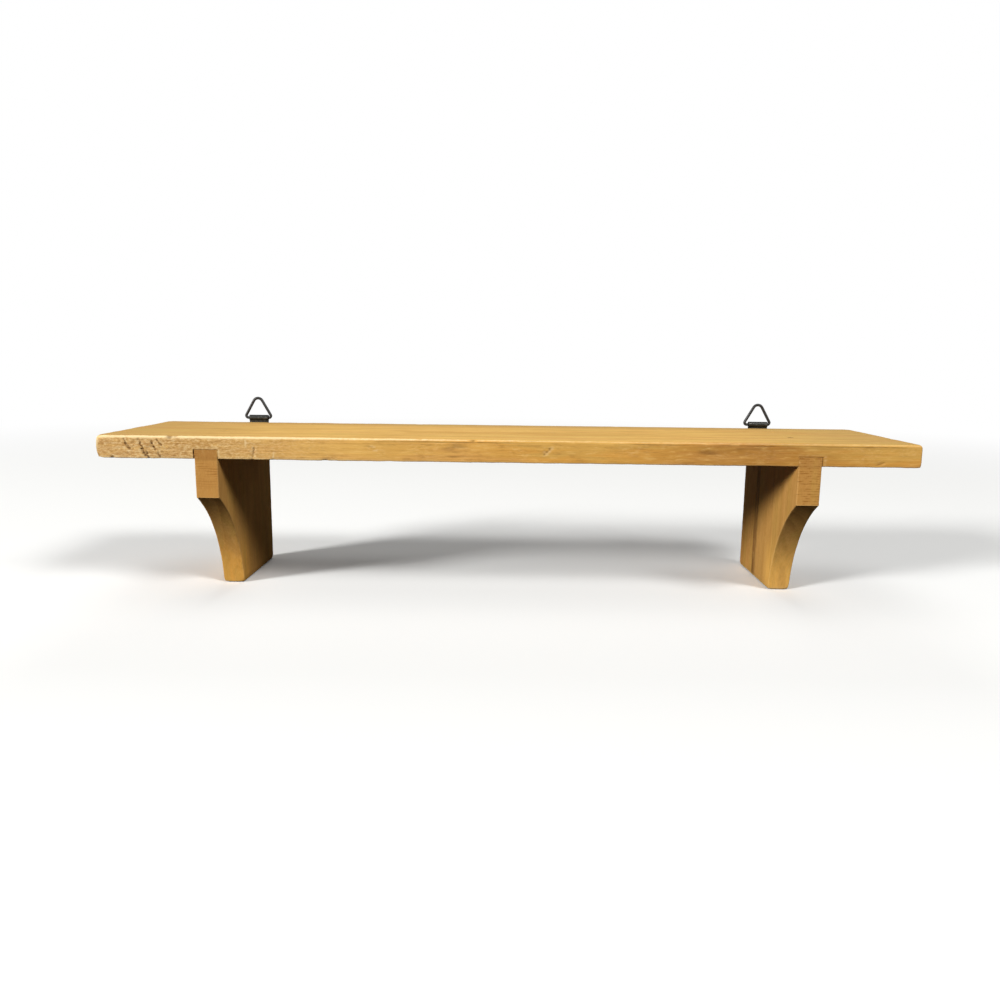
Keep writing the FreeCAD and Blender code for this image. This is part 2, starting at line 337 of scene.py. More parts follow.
class Nodes:
    """A node tree under construction."""

    def __init__(self, tree):
        self.tree = tree

    def add(self, kind, settings=None, sockets=None):
        """One node: its settings first, then the values or links of its sockets."""
        node = self.tree.nodes.new(kind)
        for name, value in (settings or {}).items():
            setattr(node, name, value)
        for key, value in (sockets or {}).items():
            value = value.socket if isinstance(value, Signal) else value
            if isinstance(value, bpy.types.NodeSocket):
                self.tree.links.new(value, node.inputs[key])
            else:
                node.inputs[key].default_value = value
        return node

    def made(self, kind, sockets=None, settings=None):
        """The first output of a new node."""
        return self.add(kind, settings, sockets).outputs[0]

    def read(self, node, output=0):
        return Signal(self, node.outputs[output])

    def join(self, x, y, z):
        return self.made("ShaderNodeCombineXYZ", {0: x, 1: y, 2: z})

    def split(self, vector):
        node = self.add("ShaderNodeSeparateXYZ", None, {0: vector})
        return tuple(self.read(node, axis) for axis in range(3))

    def scaled(self, vector, scale):
        return self.made("ShaderNodeVectorMath", {"Vector": vector, "Scale": scale}, {"operation": "SCALE"})

    def noise(self, vector, detail=2.0, roughness=0.5, scale=1.0):
        """Soft noise, near 0.5 on the whole."""
        sockets = {"Vector": vector, "Scale": scale, "Detail": detail, "Roughness": roughness}
        return self.read(self.add("ShaderNodeTexNoise", {"noise_dimensions": "3D"}, sockets))

    def rise(self, value, low, high):
        """0 below low, 1 above high, and a smooth rise between them."""
        sockets = {"Value": value, "From Min": low, "From Max": high}
        return self.read(self.add("ShaderNodeMapRange", {"interpolation_type": "SMOOTHSTEP"}, sockets))


class Finish(Nodes):
    """A procedural material. Lengths inside it are in millimetres."""

    def __init__(self, name):
        self.material = bpy.data.materials.new(name)
        self.material.use_nodes = True
        super().__init__(self.material.node_tree)
        self.tree.nodes.clear()

    def place(self):
        """The place on the piece, in millimetres."""
        return self.scaled(self.add("ShaderNodeTexCoord").outputs["Object"], 1 / MM)

    def stored(self, name):
        """A value kept on the piece's points."""
        return self.read(self.add("ShaderNodeAttribute", {"attribute_name": name}), "Fac")

    def mix(self, amount, first, second):
        """Two colours mixed, each a tuple or a socket."""
        sockets = {0: amount}
        for key, shade in ((6, first), (7, second)):
            sockets[key] = (*shade, 1.0) if isinstance(shade, tuple) else shade
        settings = {"data_type": "RGBA", "blend_type": "MIX", "clamp_factor": True}
        return self.add("ShaderNodeMix", settings, sockets).outputs[2]

    def bump(self, height, distance):
        """A normal roughened by a height, whose full range is a distance in millimetres."""
        return self.made("ShaderNodeBump", {"Height": height, "Distance": distance * MM, "Strength": 1.0})

    def close(self, sockets):
        """Ends in one surface shader, and gives the material."""
        surface = self.made("ShaderNodeBsdfPrincipled", sockets)
        self.add("ShaderNodeOutputMaterial", None, {"Surface": surface})
        return self.material


class Growth(Nodes):
    """A geometry tree with named number inputs, given as signals, that grows on a base geometry."""

    def __init__(self, name, *inputs):
        tree = bpy.data.node_groups.new(name, "GeometryNodeTree")
        super().__init__(tree)
        tree.interface.new_socket("Geometry", in_out="OUTPUT", socket_type="NodeSocketGeometry")
        kinds = {"Geometry": "Geometry", **dict.fromkeys(inputs, "Float"), "Material": "Material"}
        for label, kind in kinds.items():
            tree.interface.new_socket(label, in_out="INPUT", socket_type="NodeSocket" + kind)
        entry = self.add("NodeGroupInput")
        self.base = entry.outputs["Geometry"]
        self.material = entry.outputs["Material"]
        self.given = [self.read(entry, label) for label in inputs]

    def node(self, kind, sockets=None, settings=None):
        """The first output of a new geometry node, whose kind is given without its prefix."""
        return self.made("GeometryNode" + kind, sockets, settings)

    def close(self, geometry):
        """Ends in real geometry with its material."""
        solid = self.node("RealizeInstances", {"Geometry": geometry})
        painted = self.node("SetMaterial", {"Geometry": solid, "Material": self.material})
        self.add("NodeGroupOutput", None, {"Geometry": painted})
        return self.tree

    def position(self):
        return self.split(self.node("InputPosition"))

    def stored(self, name):
        """A value kept on the base's points."""
        return Signal(self, self.node("InputNamedAttribute", {"Name": name}, {"data_type": "FLOAT"}))

    def moved(self, geometry, offset):
        return self.node("SetPosition", {"Geometry": geometry, "Offset": offset})

    def lifted(self, geometry, height):
        return self.moved(geometry, self.join(0.0, 0.0, height))

    def joined(self, *parts):
        node = self.add("GeometryNodeJoinGeometry")
        for part in parts:
            self.tree.links.new(part, node.inputs[0])
        return node.outputs[0]

    def on_points(self, instance, rotation=(0.0, 0.0, 0.0)):
        sockets = {"Points": self.base, "Instance": instance, "Rotation": rotation}
        return self.node("InstanceOnPoints", sockets)

    def swept(self, path, resolution, radius):
        """A round section carried along a curve."""
        section = self.node("CurvePrimitiveCircle", {"Resolution": resolution, "Radius": radius})
        return self.node("CurveToMesh", {"Curve": path, "Profile Curve": section, "Fill Caps": True})

    def rod(self, radius, depth, foot, steps, side_steps, fill_steps=1):
        """A round rod along Z that stands on a foot height."""
        sockets = {"Vertices": steps, "Side Segments": side_steps, "Fill Segments": fill_steps,
                   "Radius": radius, "Depth": depth}
        rod = self.node("MeshCylinder", sockets, {"fill_type": "TRIANGLE_FAN"})
        return self.lifted(rod, foot + depth * 0.5)

    def spike(self, radius, depth, top, tip):
        """A round rod along Z below a top height, drawn to a point over its tip."""
        shank = self.rod(radius, depth, top - depth, 24, 24)
        x, y, z = self.position()
        drawn = self.rise(z, top - depth, top - depth + tip) * 0.94 - 0.94
        return self.moved(shank, self.join(x * drawn, y * drawn, 0.0))


def grown(host, tree, lengths, **others):
    """Runs a geometry tree on an object, with lengths in millimetres, and keeps the outcome as a plain mesh
    object of that name."""
    values = {**{name: size * MM for name, size in lengths.items()}, **others}
    modifier = host.modifiers.new(tree.name, "NODES")
    modifier.node_group = tree
    for item in tree.interface.items_tree:
        if item.in_out == "INPUT" and item.name in values:
            modifier[item.identifier] = values[item.name]
    return settled(host)


def settled(host):
    """An object whose modifiers are made part of a plain mesh."""
    graph = bpy.context.evaluated_depsgraph_get()
    shaped = host.evaluated_get(graph)
    mesh = bpy.data.meshes.new_from_object(shaped, preserve_all_data_layers=True, depsgraph=graph)
    if not mesh.polygons:
        raise RuntimeError(host.name + " came out empty")
    host.modifiers.clear()
    if host.type == "MESH":
        mesh.name = host.name
        host.data = mesh
        return host
    name = host.name
    bpy.data.objects.remove(host)
    return shown(name, mesh)


def shown(name, data):
    """A new object in the scene."""
    piece = bpy.data.objects.new(name, data)
    bpy.context.scene.collection.objects.link(piece)
    return piece


def strewn(name, places):
    """An object of loose points, given in millimetres, for pieces to grow on."""
    mesh = bpy.data.meshes.new(name)
    mesh.from_pydata(np.array(places) * MM, [], [])
    return shown(name, mesh)


def node_box(name):
    """Lowest corner, highest corner and middle of a CAD node, in millimetres."""
    low, high = (np.array(corner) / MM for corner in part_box(name))
    return low, high, (low + high) / 2


def run(*stretches):
    """Places along a line: a start, then pairs of an end and a step."""
    places = [np.array([stretches[0]], float)]
    start = stretches[0]
    for end, step in zip(stretches[1::2], stretches[2::2]):
        count = max(1, round((end - start) / step))
        places.append(np.linspace(start, end, count + 1)[1:])
        start = end
    return np.concatenate(places)


def rounded_layers(thickness, under, over, steps, flat_steps):
    """Heights through a slab with the inset of its outline at each, for edges rounded to a lower and an
    upper radius."""
    turn = np.linspace(0, math.pi / 2, steps + 1)
    drop, inset = 1 - np.cos(turn), 1 - np.sin(turn)
    lower = list(zip(under * drop, under * inset))
    upper = list(zip(thickness - over * drop, over * inset))[::-1]
    middle = np.linspace(under, thickness - over, flat_steps + 1)[1:-1]
    return lower + [(height, 0.0) for height in middle] + upper


def rounded_plan(a, b, half_a, half_b, radius):
    """A rectangle's grid with its corners drawn in to a radius."""
    over_a = np.clip(np.abs(a) - (half_a - radius), 0, None) / radius
    over_b = np.clip(np.abs(b) - (half_b - radius), 0, None) / radius
    round_a = over_a * np.sqrt(1 - over_b ** 2 / 2)
    round_b = over_b * np.sqrt(1 - over_a ** 2 / 2)
    return a - np.sign(a) * radius * (over_a - round_a), b - np.sign(b) * radius * (over_b - round_b)


def slab(first, second, layers, place):
    """A closed shell: two gridded faces and the rim between them."""
    rows, columns = len(first), len(second)
    grid = np.arange(rows * columns).reshape(rows, columns)
    loop = np.concatenate([grid[:-1, 0], grid[-1, :-1], grid[:0:-1, -1], grid[0, :0:-1]])
    a, b = (side.ravel() for side in np.meshgrid(first, second, indexing="ij"))
    points, loops, total = [], [], 0
    for number, (height, inset) in enumerate(layers):
        whole = number in (0, len(layers) - 1)
        pick = grid.ravel() if whole else loop
        points.append(place(a[pick], b[pick], height, inset))
        loops.append(total + (loop if whole else np.arange(len(loop))))
        total += len(pick)
    cells = np.stack([grid[:-1, :-1], grid[1:, :-1], grid[1:, 1:], grid[:-1, 1:]], axis=-1).reshape(-1, 4)
    faces = [cells[:, ::-1], cells + total - rows * columns]
    for lower, upper in zip(loops, loops[1:]):
        faces.append(np.stack([lower, np.roll(lower, -1), np.roll(upper, -1), upper], axis=-1))
    points, faces = np.concatenate(points), np.concatenate(faces)
    corners = points[faces]
    spread = np.cross(corners[:, 2] - corners[:, 0], corners[:, 3] - corners[:, 1])
    inside_out = np.einsum("ij,ij->", corners.mean(axis=1), spread) < 0
    return points, faces[:, ::-1] if inside_out else faces


def shell(name, points, faces):
    """A mesh object from points in millimetres."""
    mesh = bpy.data.meshes.new(name)
    mesh.from_pydata(points * MM, [], faces.tolist())
    mesh.shade_smooth()
    return shown(name, mesh)


def vectors(items, field):
    """One vector of each item in a mesh's list."""
    values = np.empty(len(items) * 3)
    items.foreach_get(field, values)
    return values.reshape(-1, 3)


def mesh_points(mesh):
    """A mesh's points in millimetres."""
    return vectors(mesh.vertices, "co") / MM


def mesh_normals(mesh):
    return vectors(mesh.vertex_normals, "vector")


def keep_values(mesh, name, values):
    """Stores a value on every point of a mesh."""
    layer = mesh.attributes.get(name) or mesh.attributes.new(name, "FLOAT", "POINT")
    layer.data.foreach_set("value", np.asarray(values, np.float32))


def press_in(mesh, depths):
    """Moves a mesh's points inwards, each by its depth in millimetres."""
    places = mesh_points(mesh) - mesh_normals(mesh) * depths[:, None]
    mesh.vertices.foreach_set("co", (places * MM).ravel())
    mesh.update()


def carve(piece, cutters):
    """Cuts boxes and round holes out of a closed piece. A cutter is ("box", low, high) or
    ("hole", start, end, radius)."""
    form = bmesh.new()
    for kind, start, end, *radius in cutters:
        start, end = Vector(start) * MM, Vector(end) * MM
        middle = Matrix.Translation((start + end) / 2)
        if kind == "box":
            bmesh.ops.create_cube(form, size=1.0, matrix=middle @ Matrix.Diagonal((*(end - start), 1.0)))
        else:
            turned = middle @ (end - start).to_track_quat("Z", "Y").to_matrix().to_4x4()
            bmesh.ops.create_cone(form, cap_ends=True, segments=HOLE_SIDES, radius1=radius[0] * MM,
                                  radius2=radius[0] * MM, depth=(end - start).length, matrix=turned)
    mesh = bpy.data.meshes.new(piece.name + "_cutter")
    form.to_mesh(mesh)
    form.free()
    cutter = shown(mesh.name, mesh)
    cut = piece.modifiers.new("cut", "BOOLEAN")
    cut.operation = "DIFFERENCE"
    cut.solver = "EXACT"
    cut.object = cutter
    settled(piece)
    bpy.data.objects.remove(cutter)
    form = bmesh.new()
    form.from_mesh(piece.data)
    bmesh.ops.dissolve_degenerate(form, dist=SLIVER * MM, edges=form.edges)
    form.to_mesh(piece.data)
    form.free()


def hand_over(piece, material, body, slot, *nodes):
    """Gives a finished piece its finish and shading, and its place in the frame."""
    mesh = piece.data
    mesh.materials.clear()
    mesh.materials.append(material)
    mesh.shade_smooth()
    mesh.set_sharp_from_angle(angle=SHARP_ANGLE)
    form = bmesh.new()
    form.from_mesh(mesh)
    open_edges = sum(not edge.is_manifold for edge in form.edges)
    form.free()
    if open_edges:
        raise RuntimeError("%s has %d open edges" % (piece.name, open_edges))
    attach(piece, body)
    if nodes:
        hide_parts(*nodes)


def worn_timber():
    """Geometry tree: planed faces that wander a little, and edges knocked back unevenly."""
    name = "worn_timber"
    if name in bpy.data.node_groups:
        return bpy.data.node_groups[name]
    growth = Growth(name, "Edge Wear", "Face Wave", "Seed")
    edge_wear, face_wave, seed = growth.given
    x, y, z = growth.position()
    edge = growth.stored("edge")
    spot = growth.join(x + seed, y + seed * 0.7, z + seed * 1.3)
    knocked = growth.rise(growth.noise(spot, 3.0, 0.55, 90.0), 0.3, 0.75)
    chafed = growth.rise(growth.noise(spot, 2.0, 0.5, 420.0), 0.35, 0.75)
    planed = growth.noise(spot, 1.0, 0.4, 34.0)
    worn = edge * edge_wear * (knocked * 0.75 + chafed * 0.25)
    depth = worn + face_wave * planed * (1 - edge)
    return growth.close(growth.moved(growth.base, growth.scaled(growth.node("InputNormal"), -depth)))


def bent_wire():
    """Geometry tree: a round wire bent along a path, with its own radius at the top bend."""
    growth = Growth("bent_wire", "Wire Radius", "Apex Radius", "Corner Radius")
    wire_radius, apex_radius, corner_radius = growth.given
    is_apex = {0: growth.node("InputIndex"), 1: 2.0, 2: 0.5}
    top = growth.read(growth.add("ShaderNodeMath", {"operation": "COMPARE"}, is_apex))
    radius = top * apex_radius + (1 - top) * corner_radius
    sockets = {"Curve": growth.base, "Radius": radius, "Count": 12, "Limit Radius": True}
    return growth.close(growth.swept(growth.node("FilletCurve", sockets, {"mode": "POLY"}), 28, wire_radius))


def set_nail():
    """Geometry tree: a finishing nail on every point, its cupped head at the point."""
    growth = Growth("set_nail", "Head Radius", "Head Height", "Shank Radius", "Length")
    head_radius, head_height, shank_radius, nail_length = growth.given
    head = growth.rod(head_radius, head_height, -head_height, 32, 4, 6)
    x, y, z = growth.position()
    out = span(x, y) / head_radius
    cup = growth.rise(1 - out, 0.1, 0.8) * head_radius * 0.22
    roll = growth.rise(out, 0.7, 1.0) * head_radius * 0.12
    upper = growth.rise(z, -head_height * 0.3, -head_height * 0.05)
    head = growth.lifted(head, -(cup + roll) * upper)
    inside = -head_height * 0.7
    shank = growth.spike(shank_radius, nail_length + inside, inside, shank_radius * 3.0)
    return growth.close(growth.on_points(growth.joined(head, shank)))


def putty_plug():
    """Geometry tree: a plug of putty on every point, sunk a little in its middle."""
    growth = Growth("putty_plug", "Radius", "Depth")
    radius, depth = growth.given
    plug = growth.rod(radius, depth, 0.0, 28, 3, 6)
    x, y, z = growth.position()
    out = span(x, y) / radius
    dish = growth.rise(1 - out, 0.0, 0.9) * growth.rise(z / depth, 0.4, 1.0) * depth * 0.35
    return growth.close(growth.on_points(growth.lifted(plug, -dish)))


def driven_screw():
    """Geometry tree: a slotted wood screw on every point, its head's seat at the point, driven
    forwards, with its slot turned by the point's own angle."""
    growth = Growth("driven_screw", "Head Radius", "Head Height", "Shank Radius", "Length", "Slot")
    head_radius, head_height, shank_radius, screw_length, slot = growth.given
    head = growth.rod(head_radius, head_height, 0.0, 64, 10, 14)
    x, y, z = growth.position()
    out = span(x, y) / head_radius
    dome = (out * out * 0.22 + growth.rise(out, 0.82, 1.0) * 0.14) * head_height
    head = growth.lifted(head, -dome * growth.rise(z / head_height, 0.1, 1.0))
    block = growth.node("MeshCube", {"Size": growth.join(head_radius * 2.6, slot, slot * 2.0)})
    sockets = {"Mesh 1": head, "Mesh 2": growth.lifted(block, head_height)}
    head = growth.node("MeshBoolean", sockets, {"operation": "DIFFERENCE", "solver": "EXACT"})
    core = shank_radius * 0.7
    inside = head_height * 0.2
    shank = growth.spike(core, screw_length + inside, inside, screw_length * 0.3)
    sockets = {"Resolution": 20, "Rotations": 8.0, "Start Radius": core * 0.25, "End Radius": core,
               "Height": screw_length * 0.72}
    helix = growth.lifted(growth.node("CurveSpiral", sockets), -screw_length * 0.95)
    thread = growth.swept(helix, 4, shank_radius - core)
    screws = growth.on_points(growth.joined(head, shank, thread), (-math.pi / 2, 0.0, 0.0))
    turn = growth.join(0.0, 0.0, growth.stored("turn"))
    sockets = {"Instances": screws, "Rotation": turn, "Local Space": True}
    return growth.close(growth.node("RotateInstances", sockets))


def timber_figure(finish, grain, pith, spacing):
    """The figure of a solid block of pine: growth rings about its pith, strands, flecks and fibres."""
    along, across, up = grain

    def stretched(fine, thin, detail, roughness=0.5, side=across):
        """Noise drawn out along the grain."""
        return finish.noise(finish.join(along * fine, side * thin, up * thin), detail, roughness)

    sway = stretched(0.007, 0.022, 2.0) - 0.5
    ripple = stretched(0.03, 0.11, 2.0) - 0.5
    radius = span(across - pith[0] + sway * 16.0 + ripple * 1.6, up - pith[1] + sway * 9.0)
    pace = finish.noise(finish.join(radius * 0.16, 3.0, 5.0)) * 1.6
    growth = (radius / spacing + pace).part()
    drawn = across + ripple * 3.0
    return SimpleNamespace(
        late=finish.rise(growth, 0.25, 0.86) * (1 - finish.rise(growth, 0.88, 1.0)),
        mottle=stretched(0.014, 0.13, 3.0, 0.6),
        tick=finish.noise(finish.join(along * 0.22, drawn * 2.8, up * 2.8 + 9.0)),
        **{name: stretched(*layer, drawn) for name, layer in GRAIN.items()})


def pine_finish(finish, hues, tones, tints, grain, pith, spacing, sheen, rings, busy, dry, wear):
    """Old oiled pine: figure, worn edges, dirt and painted shade in the cuts and hollows, and a soft satin
    sheen. tints are strengths and colours laid over the wood, grain is the place along, across and up the
    grain, and the last four are the strengths of the rings, figure, dry flecks and bare edges; along the
    board's top front edge the pale bare wood is partly a painted highlight."""
    place = finish.place()
    figure = timber_figure(finish, grain, pith, spacing)
    edge, scratched, grime, end_grain = map(finish.stored, ("edge", "scratched", "grime", "end_grain"))
    pale, amber, warm, straw, bare_tone = tones
    base = finish.mix(figure.late * rings, pale, amber)
    for strength, tint in tints:
        base = finish.mix(strength, base, tint)
    layers = (
        (figure.strand, 0.46, 0.74, busy * 0.5, amber),
        (1 - figure.strand, 0.5, 0.74, busy * 0.45, hues.gold),
        (figure.mottle, 0.5, 0.66, 0.36, warm),
        (1 - figure.mottle, 0.5, 0.66, 0.36, straw),
        (finish.noise(place, 3.0, 0.5, 0.03), 0.45, 0.7, 0.2, amber),
        (figure.line, 0.54, 0.72, busy * 0.24, hues.resin),
        (1 - figure.line, 0.54, 0.72, busy * 0.28, hues.gold),
        (figure.fleck, 0.54, 0.72, busy * 0.42, hues.resin),
        (1 - figure.fleck, 0.54, 0.72, busy * 0.6, hues.gold),
        (figure.speckle, 0.48, 0.66, dry * 0.7, hues.resin),
        (1 - figure.speckle, 0.48, 0.66, dry * 0.8, bare_tone),
        (figure.fibre, 0.5, 0.78, 0.15, hues.resin),
        (figure.tick, 0.64, 0.76, busy * 0.35, hues.resin),
    )
    for value, low, high, share, tint in layers:
        base = finish.mix(finish.rise(value, low, high) * share, base, tint)
    base = finish.mix(end_grain * (0.25 + figure.late * 0.4), base, hues.resin)
    chafe = finish.noise(place, 4.0, 0.65, 0.35)
    bare = finish.rise(edge * 0.8 + chafe * 0.36, 0.62, 0.96)
    # Bare wood on worn edges and scratches; along the board's top front edge this pale band is partly a
    # painted highlight.
    base = finish.mix((bare * wear).most(scratched * 0.7), base, bare_tone)
    # Dirt and painted shade: the stored darkening, mixed in with the dirt colour.
    soil_and_shade = finish.rise(grime + (chafe - 0.5) * 0.6 * grime, 0.0, 0.95)
    height = figure.late * 0.3 + figure.fleck * 0.4 + figure.speckle * 0.5 + figure.fibre * 0.4 + chafe * 0.3
    return finish.close({
        "Base Color": finish.mix(soil_and_shade, base, hues.grime),
        "Roughness": 0.6 + figure.fibre * 0.12 + bare * 0.1 + soil_and_shade * 0.14 + end_grain * 0.1,
        "Normal": finish.bump(height, 0.1),
        "Specular IOR Level": sheen,
    })


def board_pine(hues):
    """The board's finish: grain along its length, drier to the left of the front edge and more amber to the
    right, with painted shade towards the back and ends of the top, and a pale worn top front edge that is
    partly a painted highlight."""
    finish = Finish("board_pine")
    rise = finish.rise
    x, y, z = finish.split(finish.place())
    front = rise(-y, 44.4, 45.7)
    left = 1 - rise(x, -165.0, -70.0)
    rich = rise(x, -90.0, 40.0)
    shade = rise(x, 40.0, 120.0) * (1 - rise(x, 135.0, 190.0) * 0.8)
    upper = rise(z, 77.0, 81.5)
    patches = rise(finish.noise(finish.join(x * 0.06, y, z * 0.12)), 0.5, 0.66)
    clear = rise(finish.noise(finish.join(x * 0.012, y * 0.06, z * 0.06)), 0.36, 0.62)
    # Painted shade: the top darker and greyer towards its back edge and its ends.
    rim = upper * (1 - front) * rise(y, 16.0, 44.0).most(rise(x.size(), 90.0, 215.0) * 0.7)
    tints = (
        (rim * 0.8, tone(164, 134, 82)),
        (front * left * 0.75, tone(192, 157, 112)),
        (front * (0.25 + rich * 0.5), tone(213, 149, 59)),
        (front * shade * 0.75, tone(164, 110, 46)),
    )
    tones = (hues.board_pale, hues.board_amber, tone(209, 151, 88), tone(208, 175, 95), hues.bare)
    return pine_finish(
        finish, hues, tones, tints, (x, y, z), pith=(-12.0, 8.0), spacing=2.3, sheen=0.16,
        rings=(0.25 + clear * 0.4) * (1 - front * 0.5),
        busy=0.5 + front * (0.2 - rise(x, 100.0, 170.0) * 0.3),
        dry=front * (left * 0.65 + patches * 0.15),
        # Bare edges strongest along the top and to the left: real wear, and partly a painted highlight on
        # the top front edge.
        wear=(0.25 + upper * 0.75) * (1 - rise(x, -70.0, 120.0) * 0.6))


def bracket_pine(hues):
    """The brackets' finish: upright grain, fine saw lines across the noses, brighter feet, painted shade on
    the tenons' fronts, and one dark band of grain in the right bracket."""
    finish = Finish("bracket_pine")
    rise = finish.rise
    x, y, z = finish.split(finish.place())
    right = rise(x, 100.0, 120.0)
    nose = rise(-y, 44.9, 45.8)
    foot = (1 - rise(z, 8.0, 34.0)) * (1 - rise(y, -12.0, 2.0))
    level = z * 5.0 + finish.noise(finish.join(x * 0.12, y * 0.12, z * 0.7), 3.0) * 9.0
    patches = rise(finish.noise(finish.join(x * 0.12, y * 0.2, z * 0.2)), 0.38, 0.62)
    broken = rise(finish.noise(finish.join(x * 0.28, y * 0.2, z * 0.8), 3.0), 0.4, 0.62)
    sawn = right * broken + (1 - right) * patches * rise(z, 55.0, 64.0)
    lines = rise(level.wave(), -0.2, 1.0) * sawn * (0.55 + right * 0.3)
    aside = (y - 16.0 + (patches - 0.5) * 0.6).size()
    band = right * (1 - rise(aside, 1.4, 4.6)) * (1 - rise(z, 50.0, 90.0))
    tints = (
        (nose * (0.33 - right * 0.06 + lines), tone(158, 104, 44)),
        # Painted shade on the tenon's front, from just under the board up into its housing, stronger on the
        # left.
        (nose * (rise(z, 71.0, 73.0) * (0.4 - right * 0.25)), tone(140, 92, 42)),
        (right * rise(y, 16.0, 21.0) * 0.4, tone(182, 122, 58)),
        (band * 0.95, tone(112, 74, 32)),
        (foot * 0.8, finish.mix(right, tone(238, 172, 76), tone(252, 192, 96))),
    )
    tones = (hues.bracket_pale, hues.bracket_amber, tone(194, 140, 76), tone(192, 152, 72),
             tone(234, 190, 122))
    return pine_finish(
        finish, hues, tones, tints, (z, y, x), pith=(18.0, 110.0), spacing=5.5, sheen=0.1,
        rings=0.25 - nose * 0.23, busy=0.36 - nose * 0.32, dry=0.1, wear=0.25)


def rubbed_black(hues):
    """Blackened steel, rubbed to grey where it is handled, with a trace of rust."""
    finish = Finish("black_steel")
    place = finish.place()
    patch = finish.noise(place, 4.0, 0.6, 0.7)
    grit = finish.noise(place, 3.0, 0.6, 9.0)
    rubbed = finish.rise(patch + grit * 0.3, 0.66, 0.95)
    rust = finish.rise(finish.noise(place, 4.0, 0.6, 1.6), 0.68, 0.84)
    base = finish.mix(rubbed * 0.4, hues.black_steel, hues.bright_steel)
    return finish.close({
        "Base Color": finish.mix(rust * 0.08, base, hues.rust),
        "Metallic": 0.9 - rust * 0.5,
        "Roughness": 0.38 + grit * 0.16 + rust * 0.25,
        "Normal": finish.bump(grit + patch * 0.5, 0.02),
    })


def dull_steel(name, hues, rust_share):
    """Dull steel with fine grit and rust."""
    finish = Finish(name)
    place = finish.place()
    grit = finish.noise(place, 3.0, 0.6, 7.0)
    rust = finish.rise(finish.noise(place, 4.0, 0.65, 1.1), 0.72 - rust_share * 0.4, 0.86 - rust_share * 0.3)
    base = finish.mix(grit * 0.35, hues.screw_steel, hues.black_steel)
    return finish.close({
        "Base Color": finish.mix(rust * 0.8, base, hues.rust),
        "Metallic": 0.95 - rust * 0.75,
        "Roughness": 0.36 + grit * 0.2 + rust * 0.3,
        "Normal": finish.bump(grit, 0.015),
    })


def old_putty(hues):
    """Putty toned to the wood."""
    finish = Finish("old_putty")
    grit = finish.noise(finish.place(), 3.0, 0.6, 2.2)
    return finish.close({
        "Base Color": finish.mix(grit, hues.board_pale, hues.board_amber),
        "Roughness": 0.6 + grit * 0.2,
        "Normal": finish.bump(grit, 0.05),
        "Specular IOR Level": 0.2,
    })


def strongest(layers):
    """The strongest of several values at each point."""
    return np.maximum.reduce(list(layers))


def fade(off, reach):
    """1 at a place, falling away smoothly over a reach."""
    return np.exp(-(off / reach) ** 2)


def near_edges(distances, reach):
    """How near points are to an edge, from their distances to the faces: 1 at the edge, 0 away from it."""
    return fade(np.clip(np.sort(distances, axis=1)[:, 1], 0, None), reach)


def near_stroke(across, up, mark, ragged):
    """How near points are to a straight cut, seen square on: 1 on its line, 0 past its ragged width."""
    x0, z0, x1, z1, width = mark[:5]
    run_x, run_z = x1 - x0, z1 - z0
    share = np.clip(((across - x0) * run_x + (up - z0) * run_z) / (run_x ** 2 + run_z ** 2), 0, 1)
    off = np.hypot(across - x0 - share * run_x, up - z0 - share * run_z)
    return np.clip(1 - (off / (width * ragged)) ** 2, 0, None)


def struck(spots, marks):
    """Depth of round knocks at each point."""
    return strongest(depth * fade(np.linalg.norm(spots - place, axis=1), reach) ** 1.6
                     for *place, reach, depth in marks)


def patched(along, up, marks, power):
    """Strength of soft oval patches at each point. A higher power gives them a firmer edge."""
    return strongest(
        strength * np.exp(-(((along - place) / wide) ** 2 + ((up - height) / tall) ** 2) ** power)
        for place, height, wide, tall, strength in marks)


def past(values, low, high):
    """How far values lie outside a span."""
    return np.clip(np.abs(values - (low + high) / 2) - (high - low) / 2, 0, None)


def rough(points, where, along_scale, across_scale, offset):
    """Noise from -1 to 1 at those points in millimetres that are picked, and 0 at the others."""
    values = np.zeros(len(points))
    spots = points[where] * (along_scale, across_scale, across_scale) + offset
    values[where] = [noise.noise(spot) for spot in spots]
    return values


def on_board(points, low):
    """Places along, behind and above the board's lower left front corner, how far each belongs to the front
    edge, and how ragged the wood is there."""
    along, inward, up = (points - low).T
    front = np.clip(1 - inward / FRONT_REACH, 0, 1)
    return along, inward, up, front, rough(points, front > 0, 0.9, 1.2, 5.0)


